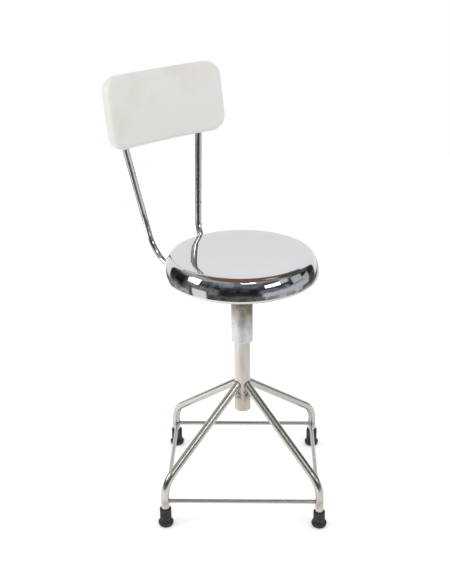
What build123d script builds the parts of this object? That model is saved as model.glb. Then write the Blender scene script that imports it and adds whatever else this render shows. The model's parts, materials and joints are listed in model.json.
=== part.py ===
from build123d import *
import os
from math import asin, cos, degrees, radians, sin, sqrt, tan

os.makedirs("parts", exist_ok=True)

# Revolving screw-lift stool with a padded backrest. Millimetres, +Z up.
# The origin is on the floor under the column, and the backrest stands towards +Y.
# The seat is at the height and turn of the photograph.

# Seat: a dished, spun metal skin over a turned wooden core. Its height is the crest's, round the dish
seat_height = 616.2
seat_diameter = 355.6
seat_wall = 1.5
crest_inset = 27.8
crown_radius = 260.0
dish_radius = 1350.0
shoulder_radius = 16.0
shoulder_turn = 59.0
side_radius = 72.0
rim_radius = 8.0
rim_flange = 9.0
core_gap = 0.4

# Base: a column on four bent legs, tied by four stretchers
leg_pitch = 359.4
base_turn = 2.5
leg_diameter = 19.05
leg_wall = 1.5
leg_bend_radius = 64.0
hub_height = 292.5
leg_corner_height = 109.0
stretcher_height = 63.6
stretcher_diameter = 9.5
stretcher_inset = 2.5
column_diameter = 38.1
column_wall = 1.6
tail_bottom = 212.5
tail_hole_diameter = 4.0
tail_hole_height = 5.0
tail_hole_turn = -83.0

# Rubber feet with a steel disc under each leg
foot_height = 46.0
front_foot_height = 40.0
foot_sole = 12.0
foot_disc = 2.0
foot_base_radius = 12.8
foot_flange_radius = 17.8
foot_flange_height = 8.5
foot_flange_rim = 1.5
foot_flange_slope = 3.0
foot_grip = 4.0
foot_round = 1.2

# Screw lift: spindle, nut, stop collar, sleeve and the guide ring in its mouth
lift_up = 38.0
lift_gap = 0.5
spindle_diameter = 25.4
spindle_nose = 3.0
nut_length = 38.0
nut_lip = 3.0
collar_diameter = 32.0
collar_height = 14.0
collar_pin_diameter = 4.0
sleeve_diameter = 50.8
sleeve_wall = 3.2
sleeve_length = 163.5
sleeve_edge = 2.2
lip_height = 2.5
lip_width = 1.8
ring_length = 16.0
ring_play = 0.3
clip_thickness = 1.5
clip_width = 2.4
clip_groove = 1.1
clip_gap_angle = 24.0

# Mounting flange between the core, the spindle and the sleeve
flange_diameter = 114.0
flange_thickness = 6.0
boss_length = 12.0
boss_pin_diameter = 5.0
flange_screw_radius = 44.0
flange_screws = 4
sleeve_screws = 3
grub_diameter = 5.0
grub_length = 6.0

# Fits
running_gap = 0.05
seat_gap = 0.05
hole_gap = 0.2

# Screws, in diameters of shank and head
screw_diameter = 5.0
screw_head_diameter = 9.5
screw_head_height = 2.8
screw_bite = 20.0
bolt_diameter = 6.0
bolt_head_diameter = 11.0
bolt_head_height = 4.0

# Backrest rods, held under the core by two bearers
rod_diameter = 16.0
rod_wall = 1.6
rod_gauge = 133.4
rod_setback = 239.1
rod_bend_radius = 76.5
rod_splay = 8.81
rod_recline = 8.6
rod_front = -92.0
bearer_thickness = 9.0
bearer_width = 26.0
bearer_length = 186.0
bearer_rear = 100.0
bearer_front = -74.0
bearer_screw_pitch = 70.0
plug_cap = 2.0
plug_length = 9.0
plug_taper = 20.0

# Backrest: a padded front over a curved board, closed by a thin cover behind
backrest_height = 911.5
backrest_radius = 625.0
pad_width = 333.0
pad_height = 168.4
pad_thickness = 22.6
pad_crown = 2.5
pad_corner = 38.0
pad_edge = 8.0
pad_back_edge = 3.0
board_thickness = 9.0
board_inset = 5.0
cover_thickness = 3.0
cover_inset = 3.6
saddle_thickness = 6.0
saddle_diameter = 15.0
fixing_pitch = 92.0
rod_end_height = 60.0
board_bite = 7.0

# Seat profile: the dish, crown, shoulder and side run into each other at these turns
shoulder_sine = sin(radians(shoulder_turn))
shoulder_cosine = cos(radians(shoulder_turn))
crest_reach = seat_diameter / 2 - crest_inset
dish_turn = degrees(asin(crest_reach / (dish_radius + crown_radius)))
dish_bottom = seat_height - (dish_radius + crown_radius) * (1 - cos(radians(dish_turn)))
crown_run = crest_inset - shoulder_radius * shoulder_sine - side_radius * (1 - shoulder_sine)
crown_turn = degrees(asin(crown_run / (crown_radius - shoulder_radius)))
crown_cosine = cos(radians(crown_turn))
crown_drop = crown_radius * (1 - crown_cosine)
shoulder_drop = shoulder_radius * (crown_cosine - shoulder_cosine)
side_drop = side_radius * shoulder_cosine
seat_bottom = seat_height - crown_drop - shoulder_drop - side_drop - rim_radius
core_bottom = seat_bottom + seat_wall

# Heights of the lift, downwards from the core and upwards from the sleeve's mouth
flange_bottom = core_bottom - flange_thickness
boss_bottom = flange_bottom - boss_length
sleeve_bottom = flange_bottom - sleeve_length
sleeve_bore = sleeve_diameter - 2 * sleeve_wall
ring_bottom = sleeve_bottom + lip_height + ring_play
ring_top = ring_bottom + ring_length
clip_bottom = ring_top + ring_play
clip_top = clip_bottom + clip_thickness
column_top = clip_top + lift_up
column_bore = column_diameter - 2 * column_wall
nut_bottom = column_top - nut_length
collar_top = nut_bottom - lift_up - lift_gap
collar_bottom = collar_top - collar_height
spindle_bottom = collar_bottom - spindle_nose

# Legs stand on the corners of a square, at these turns about the column
foot_heights = {
    "right": foot_height,
    "rear": foot_height,
    "left": foot_height,
    "front": front_foot_height,
}
leg_names = list(foot_heights)
leg_turns = [base_turn + 90 * i for i in range(4)]
leg_reach = leg_pitch / sqrt(2)
leg_bottom = foot_sole + foot_disc
foot_bore = leg_diameter / 2 + seat_gap
foot_body_radius = foot_bore + foot_grip

# Rods: a level run under the core, then up and back behind the sitter
rod_height = core_bottom - bearer_thickness - rod_diameter / 2
rod_rise = Vector(tan(radians(rod_splay)), tan(radians(rod_recline)), 1)
rod_corner = Vector(rod_gauge / 2, rod_setback, rod_height)
rod_sides = {"right": 1, "left": -1}
bearer_places = {"rear": bearer_rear, "front": bearer_front}

# Backrest directions: up the panel, and back through it from the sitter
panel_up = Vector(0, sin(radians(rod_recline)), cos(radians(rod_recline)))
panel_back = Vector(0, cos(radians(rod_recline)), -sin(radians(rod_recline)))
fixing_radius = backrest_radius + pad_thickness + cover_thickness + saddle_thickness + rod_diameter / 2
rod_middle = rod_corner + rod_rise * (backrest_height - rod_height)
rod_depth = sqrt(fixing_radius**2 - rod_middle.X**2) - backrest_radius
panel_front = Vector(0, rod_middle.Y, rod_middle.Z) - panel_back * rod_depth
panel_centre = panel_front - panel_back * backrest_radius
panel_plane = Plane(origin=panel_front, x_dir=(1, 0, 0), z_dir=panel_up)


def at_panel(level):
    # Point of the right rod's axis at a level above the backrest's middle
    run = (level + (panel_front - rod_corner).dot(panel_up)) / rod_rise.dot(panel_up)
    return rod_corner + rod_rise * run


def handed(point, side):
    return Vector(side * point.X, point.Y, point.Z)


def turned(radius, turn, height):
    return Vector(radius * cos(radians(turn)), radius * sin(radians(turn)), height)


def keep(builder, name):
    builder.part.label = name
    export_step(builder.part, f"parts/{name}.step")


def skin(depth):
    # Half profile of the seat, set in by a depth: dish, crown, shoulder, side and turned rim
    dish = CenterArc((0, dish_bottom + dish_radius), dish_radius + depth, -90, dish_turn)
    crown = JernArc(dish @ 1, dish % 1, crown_radius - depth, -dish_turn - crown_turn)
    shoulder = JernArc(crown @ 1, crown % 1, shoulder_radius - depth, crown_turn - shoulder_turn)
    side = JernArc(shoulder @ 1, shoulder % 1, side_radius - depth, shoulder_turn - 90)
    rim = JernArc(side @ 1, side % 1, rim_radius - depth, -90)
    return rim @ 1


def ring(outer, inner, bottom, top):
    # Plain ring about the column, made in the open part
    with BuildSketch(Plane.XY.offset(bottom)) as section:
        Circle(outer)
        if inner > 0:
            Circle(inner, mode=Mode.SUBTRACT)
    extrude(section.sketch, amount=top - bottom)


def screw_planes(positions, height):
    # Planes that look up, one under each screw's place
    return [Plane(origin=(x, y, height), z_dir=(0, 0, 1)) for x, y in positions]


def bore(planes, diameter, depth):
    # Straight holes from each plane, cut from the open part
    for plane in planes:
        with BuildSketch(plane) as hole:
            Circle(diameter / 2)
        extrude(hole.sketch, amount=depth, mode=Mode.SUBTRACT)


def headed(planes, shank, head, head_height, length):
    # Cheese-headed screws: the head below each plane, the shank above it
    for plane in planes:
        with BuildSketch(plane) as shank_circle:
            Circle(shank / 2)
        extrude(shank_circle.sketch, amount=length)
        with BuildSketch(plane) as head_circle:
            Circle(head / 2)
        extrude(head_circle.sketch, amount=-head_height)
        crown = edges(Select.LAST).filter_by(GeomType.CIRCLE).sort_by(Axis(plane.origin, plane.z_dir))[0]
        chamfer(crown, head_height / 4)


# Places of the screws that go up into the core
flange_places = []
for i in range(flange_screws):
    flange_place = turned(flange_screw_radius, 45 + 360 / flange_screws * i, 0)
    flange_places.append((flange_place.X, flange_place.Y))
bearer_screw_places = [
    (side * bearer_screw_pitch / 2, y) for y in bearer_places.values() for side in (1, -1)
]
rod_bolt_places = [(side * rod_gauge / 2, y) for y in bearer_places.values() for side in (1, -1)]
flange_screw_planes = screw_planes(flange_places, flange_bottom)
bearer_screw_planes = screw_planes(bearer_screw_places, core_bottom - bearer_thickness)
rod_bolt_planes = screw_planes(rod_bolt_places, rod_height - rod_diameter / 2)
rod_bolt_length = core_bottom + screw_bite - (rod_height - rod_diameter / 2)

# Places of the bolts that go through the rods into the backrest's board
fixing_planes = []
for fixing_side in rod_sides.values():
    for fixing_level in (-fixing_pitch / 2, fixing_pitch / 2):
        on_axis = handed(at_panel(fixing_level), fixing_side)
        along = handed(rod_rise, fixing_side).normalized()
        to_centre = panel_centre - on_axis
        level_part = to_centre - panel_up * to_centre.dot(panel_up)
        inwards = (level_part - along * level_part.dot(along)).normalized()
        behind = on_axis - inwards * (rod_diameter / 2)
        fixing_planes.append(Plane(origin=behind, x_dir=panel_up, z_dir=inwards))

# Spun seat skin, with its rim turned in under the core
with BuildPart() as seat_shell:
    with BuildSketch(Plane.XZ):
        with BuildLine():
            outer_end = skin(0)
            inner_end = skin(seat_wall)
            Line((0, dish_bottom - seat_wall), (0, dish_bottom))
            Polyline(
                outer_end,
                (outer_end.X - rim_flange, outer_end.Y),
                (outer_end.X - rim_flange, inner_end.Y),
                inner_end,
            )
        make_face()
    revolve(axis=Axis.Z)
keep(seat_shell, "seat_shell")

# Turned wooden core that backs the skin and takes every screw from below
with BuildPart() as seat_core:
    with BuildSketch(Plane.XZ):
        with BuildLine():
            core_end = skin(seat_wall + core_gap)
            Polyline(
                core_end,
                (core_end.X, core_bottom),
                (0, core_bottom),
                (0, dish_bottom - seat_wall - core_gap),
            )
        make_face()
    revolve(axis=Axis.Z)
    bore(screw_planes(flange_places, core_bottom), screw_diameter + hole_gap, screw_bite + hole_gap)
    bore(screw_planes(bearer_screw_places, core_bottom), screw_diameter + hole_gap, screw_bite + hole_gap)
    bore(screw_planes(rod_bolt_places, core_bottom), bolt_diameter + hole_gap, screw_bite + hole_gap)
keep(seat_core, "seat_core")

# Flange with a boss that carries the spindle and centres the sleeve
boss_pin_plane = Plane(origin=(0, 0, boss_bottom + boss_length / 2), z_dir=(1, 0, 0))
sleeve_screw_planes = [
    Plane(
        origin=turned(sleeve_diameter / 2, 90 + 360 / sleeve_screws * i, flange_bottom - boss_length / 2),
        z_dir=turned(-1, 90 + 360 / sleeve_screws * i, 0),
    )
    for i in range(sleeve_screws)
]
with BuildPart() as mounting_flange:
    ring(flange_diameter / 2, 0, flange_bottom, core_bottom)
    chamfer(edges().filter_by(GeomType.CIRCLE).sort_by(Axis.Z)[0], flange_thickness / 4)
    ring(sleeve_bore / 2 - seat_gap, 0, boss_bottom, flange_bottom)
    Cylinder(spindle_diameter / 2 + seat_gap, 4 * seat_height, mode=Mode.SUBTRACT)
    bore(flange_screw_planes, screw_diameter + hole_gap, flange_thickness)
    bore(sleeve_screw_planes, grub_diameter + hole_gap, grub_length + hole_gap)
    with BuildSketch(boss_pin_plane):
        Circle((boss_pin_diameter + hole_gap) / 2)
    extrude(amount=sleeve_diameter / 2, both=True, mode=Mode.SUBTRACT)
keep(mounting_flange, "mounting_flange")

with BuildPart() as flange_screw_set:
    headed(
        flange_screw_planes,
        screw_diameter,
        screw_head_diameter,
        screw_head_height,
        flange_thickness + screw_bite,
    )
keep(flange_screw_set, "flange_screws")

# Screw spindle, pinned in the flange's boss and in its stop collar
collar_pin_plane = Plane(origin=(0, 0, (collar_top + collar_bottom) / 2), z_dir=(1, 0, 0))
with BuildPart() as spindle:
    ring(spindle_diameter / 2, 0, spindle_bottom, core_bottom)
    chamfer(edges().filter_by(GeomType.CIRCLE).sort_by(Axis.Z)[0], spindle_nose / 2)
    for plane, diameter in (
        (boss_pin_plane, boss_pin_diameter),
        (collar_pin_plane, collar_pin_diameter),
    ):
        with BuildSketch(plane):
            Circle((diameter + hole_gap) / 2)
        extrude(amount=spindle_diameter, both=True, mode=Mode.SUBTRACT)
keep(spindle, "spindle")

with BuildPart() as spindle_pin:
    with BuildSketch(boss_pin_plane):
        Circle(boss_pin_diameter / 2)
    extrude(amount=sleeve_bore / 2 - hole_gap, both=True)
keep(spindle_pin, "spindle_pin")

with BuildPart() as stop_collar:
    ring(collar_diameter / 2, spindle_diameter / 2 + seat_gap, collar_bottom, collar_top)
    with BuildSketch(collar_pin_plane):
        Circle((collar_pin_diameter + hole_gap) / 2)
    extrude(amount=collar_diameter, both=True, mode=Mode.SUBTRACT)
keep(stop_collar, "stop_collar")

with BuildPart() as collar_pin:
    with BuildSketch(collar_pin_plane):
        Circle(collar_pin_diameter / 2)
    extrude(amount=collar_diameter / 2 - hole_gap, both=True)
keep(collar_pin, "collar_pin")

# Sleeve over the column, with a lip and a clip groove that trap the guide ring
with BuildPart() as sleeve:
    ring(sleeve_diameter / 2, sleeve_bore / 2, sleeve_bottom, flange_bottom)
    ring(sleeve_diameter / 2, sleeve_bore / 2 - lip_width, sleeve_bottom, sleeve_bottom + lip_height)
    mouth = edges().filter_by(GeomType.CIRCLE).group_by(Axis.Z)[0].sort_by(SortBy.RADIUS)[-1]
    fillet(mouth, sleeve_edge)
    with BuildSketch(Plane.XY.offset(clip_bottom)):
        Circle(sleeve_bore / 2 + clip_groove)
        Circle(sleeve_bore / 2 - lip_width, mode=Mode.SUBTRACT)
    extrude(amount=clip_thickness + hole_gap, mode=Mode.SUBTRACT)
    bore(sleeve_screw_planes, grub_diameter + hole_gap, sleeve_wall + hole_gap)
keep(sleeve, "sleeve")

with BuildPart() as sleeve_screw_set:
    for plane in sleeve_screw_planes:
        with BuildSketch(plane):
            Circle(grub_diameter / 2)
        extrude(amount=grub_length)
keep(sleeve_screw_set, "sleeve_screws")

# Spring clip above the guide ring, open over a short gap
clip_outer = sleeve_bore / 2 + clip_groove - hole_gap
with BuildPart() as ring_clip:
    ring(clip_outer, sleeve_bore / 2 - clip_width, clip_bottom, clip_top)
    with BuildSketch(Plane.XY.offset(clip_bottom)):
        with BuildLine():
            gap_arc = CenterArc((0, 0), sleeve_diameter, -clip_gap_angle / 2, clip_gap_angle)
            Polyline(gap_arc @ 1, (0, 0), gap_arc @ 0)
        make_face()
    extrude(amount=clip_thickness, mode=Mode.SUBTRACT)
keep(ring_clip, "ring_clip")

# Guide ring: turns in the sleeve's mouth and slides on the column
with BuildPart() as guide_ring:
    ring(sleeve_bore / 2 - running_gap, column_diameter / 2 + running_gap, ring_bottom, ring_top)
keep(guide_ring, "guide_ring")

# Column tube, open below, with a small hole near its lower end
with BuildPart() as column_tube:
    ring(column_diameter / 2, column_bore / 2, tail_bottom, column_top)
    with BuildSketch(
        Plane(
            origin=turned(column_bore / 4, tail_hole_turn, tail_bottom + tail_hole_height),
            z_dir=turned(1, tail_hole_turn, 0),
        )
    ):
        Circle(tail_hole_diameter / 2)
    extrude(amount=column_diameter / 2, mode=Mode.SUBTRACT)
keep(column_tube, "column_tube")

# Nut in the column's top, where the spindle turns
with BuildPart() as spindle_nut:
    ring(column_bore / 2 - seat_gap, 0, nut_bottom, column_top)
    ring(column_diameter / 2, 0, column_top, column_top + nut_lip)
    Cylinder(spindle_diameter / 2 + running_gap, 4 * seat_height, mode=Mode.SUBTRACT)
keep(spindle_nut, "spindle_nut")

# Legs: bent tubes from the column down to the feet, coped on the column
for name, turn in zip(leg_names, leg_turns):
    leg_start = turned(0, turn, hub_height)
    leg_corner = turned(leg_reach, turn, leg_corner_height)
    leg_end = turned(leg_reach, turn, leg_bottom)
    with BuildPart() as leg:
        with BuildLine():
            FilletPolyline(leg_start, leg_corner, leg_end, radius=leg_bend_radius)
        with BuildSketch(Plane(origin=leg_start, z_dir=leg_corner - leg_start)):
            Circle(leg_diameter / 2)
            Circle(leg_diameter / 2 - leg_wall, mode=Mode.SUBTRACT)
        sweep()
        Cylinder(column_diameter / 2 + seat_gap, 4 * hub_height, mode=Mode.SUBTRACT)
    keep(leg, f"leg_{name}")

# Stretchers between neighbouring legs, coped on both and mitred to each other
for i, name in enumerate(leg_names):
    following = (i + 1) % 4
    near_leg = turned(leg_reach, leg_turns[i], stretcher_height)
    far_leg = turned(leg_reach, leg_turns[following], stretcher_height)
    towards_column = turned(-stretcher_inset, leg_turns[i] + 45, 0)
    with BuildPart() as stretcher:
        with BuildSketch(Plane(origin=near_leg + towards_column, z_dir=far_leg - near_leg)):
            Circle(stretcher_diameter / 2)
        extrude(amount=leg_pitch)
        for leg_point, turn in ((near_leg, leg_turns[i] + 90), (far_leg, leg_turns[following] - 90)):
            with BuildSketch(Plane(origin=(leg_point.X, leg_point.Y, 0))):
                Circle(leg_diameter / 2 + seat_gap)
            extrude(amount=2 * stretcher_height, mode=Mode.SUBTRACT)
            mitre = Plane(origin=leg_point, z_dir=turned(1, turn, 0)).offset(seat_gap)
            split(bisect_by=mitre, keep=Keep.TOP)
    keep(stretcher, f"stretcher_{name}_{leg_names[following]}")

# Rubber feet: a flared sole under a sleeve that grips the leg
for name, turn in zip(leg_names, leg_turns):
    foot_axis = turned(leg_reach, turn, 0)
    foot_top = foot_heights[name]
    flange_top = foot_flange_height + foot_flange_rim
    with BuildPart() as foot:
        with BuildSketch(Plane(origin=foot_axis, x_dir=turned(1, turn, 0), z_dir=turned(1, turn - 90, 0))):
            with BuildLine():
                Polyline((0, foot_sole), (0, 0), (foot_base_radius, 0))
                EllipticalCenterArc(
                    (foot_base_radius, foot_flange_height),
                    foot_flange_radius - foot_base_radius,
                    foot_flange_height,
                    start_angle=-90,
                    arc_size=90,
                )
                Polyline(
                    (foot_flange_radius, foot_flange_height),
                    (foot_flange_radius, flange_top),
                    (foot_body_radius, flange_top + foot_flange_slope),
                    (foot_body_radius, foot_top - foot_round),
                    (foot_body_radius - foot_round, foot_top),
                    (foot_bore, foot_top),
                    (foot_bore, foot_sole),
                    (0, foot_sole),
                )
            make_face()
        revolve(axis=Axis(foot_axis, (0, 0, 1)))
    keep(foot, f"foot_{name}")

with BuildPart() as foot_disc_set:
    for turn in leg_turns:
        with BuildSketch(Plane(origin=turned(leg_reach, turn, foot_sole))):
            Circle(leg_diameter / 2 - seat_gap)
        extrude(amount=foot_disc)
keep(foot_disc_set, "foot_discs")

# Bearers across the rods, screwed up into the core
for name, place in bearer_places.items():
    with BuildPart() as bearer:
        with BuildSketch(Plane(origin=(0, place, core_bottom - bearer_thickness))):
            RectangleRounded(bearer_length, bearer_width, bearer_width / 4)
        extrude(amount=bearer_thickness)
        bore(bearer_screw_planes, screw_diameter + hole_gap, bearer_thickness)
        bore(screw_planes(rod_bolt_places, core_bottom), bolt_diameter + hole_gap, -bearer_thickness)
    keep(bearer, f"bearer_{name}")

with BuildPart() as bearer_screw_set:
    headed(
        bearer_screw_planes,
        screw_diameter,
        screw_head_diameter,
        screw_head_height,
        bearer_thickness + screw_bite,
    )
keep(bearer_screw_set, "bearer_screws")

with BuildPart() as rod_bolt_set:
    headed(rod_bolt_planes, bolt_diameter, bolt_head_diameter, bolt_head_height, rod_bolt_length)
keep(rod_bolt_set, "rod_bolts")

# Backrest rods: bent tubes, drilled for their bolts
rod_end = at_panel(rod_end_height)
rod_begin = Vector(rod_gauge / 2, rod_front, rod_height)
for name, side in rod_sides.items():
    route = [handed(point, side) for point in (rod_begin, rod_corner, rod_end)]
    with BuildPart() as rod:
        with BuildLine():
            FilletPolyline(*route, radius=rod_bend_radius)
        with BuildSketch(Plane(origin=route[0], z_dir=route[1] - route[0])):
            Circle(rod_diameter / 2)
            Circle(rod_diameter / 2 - rod_wall, mode=Mode.SUBTRACT)
        sweep()
        bore(rod_bolt_planes, bolt_diameter + hole_gap, rod_diameter)
        bore(fixing_planes, bolt_diameter + hole_gap, rod_diameter)
    keep(rod, f"rod_{name}")

# Plugs in the four rod ends
with BuildPart() as rod_plug_set:
    for side in rod_sides.values():
        for tip, outwards in ((rod_begin, Vector(0, -1, 0)), (rod_end, rod_rise)):
            end_plane = Plane(origin=handed(tip, side), z_dir=handed(outwards, side))
            with BuildSketch(end_plane):
                Circle(rod_diameter / 2)
            extrude(amount=plug_cap, taper=plug_taper)
            with BuildSketch(end_plane):
                Circle(rod_diameter / 2 - rod_wall - seat_gap)
            extrude(amount=-plug_length)
keep(rod_plug_set, "rod_plugs")


def curved_slab(inset, near, far):
    # Curved panel with round corners, inset from the pad's outline, in the open part
    half_turn = degrees(asin((pad_width / 2 - inset) / backrest_radius))
    with BuildSketch(panel_plane) as section:
        with BuildLine():
            front = CenterArc((0, -backrest_radius), backrest_radius + near, 90 - half_turn, 2 * half_turn)
            rear = CenterArc((0, -backrest_radius), backrest_radius + far, 90 - half_turn, 2 * half_turn)
            Line(front @ 0, rear @ 0)
            Line(front @ 1, rear @ 1)
        make_face()
    extrude(section.sketch, amount=pad_height / 2 - inset, both=True)
    across = edges().filter_by(GeomType.LINE).filter_by(lambda e: abs(e.length - (far - near)) < 0.01)
    fillet(across, pad_corner - inset)


board_front = pad_thickness - board_thickness
with BuildPart() as backrest_board:
    curved_slab(board_inset, board_front, pad_thickness)
    bore(fixing_planes, bolt_diameter + hole_gap, fixing_radius - backrest_radius)
keep(backrest_board, "backrest_board")

with BuildPart() as board_pocket:
    curved_slab(board_inset - hole_gap, board_front - hole_gap, pad_thickness + pad_edge)

# Pad: foam under a covering, crowned in front and wrapped round the board's edges
half_pad = asin(pad_width / 2 / backrest_radius)
pad_side = panel_back * cos(half_pad) + Vector(sin(half_pad), 0, 0)
pad_start = Plane(
    origin=panel_centre + pad_side * backrest_radius,
    x_dir=pad_side,
    z_dir=pad_side.cross(panel_up),
)
with BuildPart() as backrest_pad:
    with BuildSketch(pad_start):
        with BuildLine():
            crown_line = ThreePointArc(
                (pad_crown, -pad_height / 2),
                (0, 0),
                (pad_crown, pad_height / 2),
            )
            Polyline(
                crown_line @ 1,
                (pad_thickness, pad_height / 2),
                (pad_thickness, -pad_height / 2),
                crown_line @ 0,
            )
        make_face()
    revolve(axis=Axis(panel_centre, panel_up), revolution_arc=degrees(2 * half_pad))
    pad_across = edges().filter_by(GeomType.LINE)
    pad_across = pad_across.filter_by(lambda e: abs(e.length - (pad_thickness - pad_crown)) < 0.01)
    fillet(pad_across, pad_corner)
    fillet(faces().sort_by(SortBy.AREA)[-2].edges(), pad_edge)
    fillet(faces().sort_by(SortBy.AREA)[-1].edges(), pad_back_edge)
    add(board_pocket.part, mode=Mode.SUBTRACT)
keep(backrest_pad, "backrest_pad")

# Thin cover that closes the back over the board
with BuildPart() as backrest_cover:
    curved_slab(cover_inset, pad_thickness, pad_thickness + cover_thickness)
    bore(fixing_planes, bolt_diameter + hole_gap, fixing_radius - backrest_radius)
keep(backrest_cover, "backrest_cover")

# Saddles between the rods and the cover, hollowed to both
with BuildPart() as backrest_saddle_set:
    for plane in fixing_planes:
        with BuildSketch(plane.offset(rod_diameter / 2)):
            Circle(saddle_diameter / 2)
            Circle((bolt_diameter + hole_gap) / 2, mode=Mode.SUBTRACT)
        extrude(amount=fixing_radius - backrest_radius)
    with BuildSketch(panel_plane):
        with Locations((0, -backrest_radius)):
            Circle(backrest_radius + pad_thickness + cover_thickness)
    extrude(amount=pad_height, both=True, mode=Mode.SUBTRACT)
    for side in rod_sides.values():
        low_end = handed(rod_corner, side)
        with BuildSketch(Plane(origin=low_end, z_dir=handed(rod_rise, side))):
            Circle(rod_diameter / 2 + seat_gap)
        extrude(amount=backrest_height, mode=Mode.SUBTRACT)
keep(backrest_saddle_set, "backrest_saddles")

with BuildPart() as backrest_bolt_set:
    for plane in fixing_planes:
        reach = plane.origin - panel_centre
        reach = (reach - panel_up * reach.dot(panel_up)).length
        bolt_length = reach - (backrest_radius + pad_thickness - board_bite)
        headed([plane], bolt_diameter, bolt_head_diameter, bolt_head_height, bolt_length)
keep(backrest_bolt_set, "backrest_bolts")
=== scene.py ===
import json
from math import atan2, cos, pi, radians, sin, sqrt

import bmesh
import bpy
import numpy as np
from mathutils import Matrix, Vector


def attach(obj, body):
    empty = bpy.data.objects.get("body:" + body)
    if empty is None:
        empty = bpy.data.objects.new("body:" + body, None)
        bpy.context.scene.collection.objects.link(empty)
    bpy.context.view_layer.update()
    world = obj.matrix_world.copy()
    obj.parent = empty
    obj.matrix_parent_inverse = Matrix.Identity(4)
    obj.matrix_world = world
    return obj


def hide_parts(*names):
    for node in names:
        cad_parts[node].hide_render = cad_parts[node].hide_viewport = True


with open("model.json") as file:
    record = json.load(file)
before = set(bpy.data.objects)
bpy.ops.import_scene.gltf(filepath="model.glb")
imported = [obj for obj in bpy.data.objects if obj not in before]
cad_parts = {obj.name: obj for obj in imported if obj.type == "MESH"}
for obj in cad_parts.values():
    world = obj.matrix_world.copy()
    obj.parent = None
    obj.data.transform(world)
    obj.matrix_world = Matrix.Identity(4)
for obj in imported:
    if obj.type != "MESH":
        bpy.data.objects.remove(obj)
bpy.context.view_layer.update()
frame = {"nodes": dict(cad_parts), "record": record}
print("frame loaded:", len(frame["nodes"]), "nodes")

mm = 0.001  # sizes below are in millimetres and come out in metres


# Small helpers

def linear(hexColour):
    # sRGB hex to the linear colour that a socket takes
    channels = [int(hexColour[i:i + 2], 16) / 255 for i in (1, 3, 5)]
    return [c / 12.92 if c <= 0.04045 else ((c + 0.055) / 1.055) ** 2.4 for c in channels] + [1]


def plug(tree, node, inputs):
    # Set or link a node's sockets; a node given as a value means its first output in use
    for name, value in inputs.items():
        if isinstance(value, bpy.types.Node):
            value = next(socket for socket in value.outputs if socket.enabled)
        if isinstance(value, bpy.types.NodeSocket):
            tree.links.new(value, node.inputs[name])
        else:
            node.inputs[name].default_value = value


def addNode(tree, kind, inputs=None, stops=None, **settings):
    # Node of any kind, with its settings, sockets and, on a colour ramp, stops from 0 to 1
    made = tree.nodes.new("ShaderNode" + kind)
    for name, value in settings.items():
        setattr(made, name, value)
    plug(tree, made, inputs or {})
    for position, hexColour in stops or []:
        bars = made.color_ramp.elements
        bar = bars[0] if position == 0 else bars[-1] if position == 1 else bars.new(position)
        bar.color = linear(hexColour)
    return made


def startMaterial(name, **sockets):
    material = bpy.data.materials.new(name)
    material.use_nodes = True
    tree = material.node_tree
    shader = tree.nodes["Principled BSDF"]
    plug(tree, shader, sockets)
    place = addNode(tree, "TexCoord").outputs["Object"]
    return material, tree, shader, place


def perMetre(size):
    # Texture scale for a pattern whose grains are so many millimetres apart
    return 1 / (size * mm)


def dress(material, *names):
    for name in names:
        mesh = frame["nodes"][name].data
        mesh.materials.clear()
        mesh.materials.append(material)


def addObject(name, data):
    made = bpy.data.objects.new(name, data)
    bpy.context.scene.collection.objects.link(made)
    return made


def addPiece(name, mesh, body, material):
    piece = addObject(name, mesh)
    mesh.materials.clear()
    mesh.materials.append(material)
    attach(piece, body)
    return piece


def finishedMesh(thing):
    # New mesh of an object with its modifiers or its curve's bevel applied
    ready = bpy.context.evaluated_depsgraph_get()
    return bpy.data.meshes.new_from_object(thing.evaluated_get(ready))


# Materials; a pair of roughnesses is the smoothest and the roughest

seatChrome = {"colour": "#D4D5D8", "roughness": (0.015, 0.06), "hazeSize": 45, "rubSize": 1.5,
              "rubDepth": 0.01}


def makeSeatChrome():
    # Buffed chromium plate: a near mirror, with faint hazing where it is wiped
    material, tree, shader, place = startMaterial("buffed_chrome", Metallic=1.0)
    haze = addNode(tree, "TexNoise", {
        "Vector": place, "Scale": perMetre(seatChrome["hazeSize"]), "Detail": 5})
    smoothest, roughest = seatChrome["roughness"]
    wiped = addNode(tree, "MapRange", {
        "Value": haze, "From Min": 0.35, "From Max": 0.7, "To Min": smoothest, "To Max": roughest})
    rubs = addNode(tree, "TexNoise", {
        "Vector": place, "Scale": perMetre(seatChrome["rubSize"]), "Detail": 2})
    bump = addNode(tree, "Bump", {
        "Height": rubs, "Strength": 0.05, "Distance": seatChrome["rubDepth"] * mm})
    plug(tree, shader, {
        "Base Color": linear(seatChrome["colour"]), "Roughness": wiped, "Normal": bump})
    return material


rodChrome = {"colour": "#F0F2F4", "pitColour": "#3F3A35", "roughness": 0.075, "pitSize": 5.5,
             "patchSize": 30, "waveSize": 11, "waveDepth": 0.3}


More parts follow.
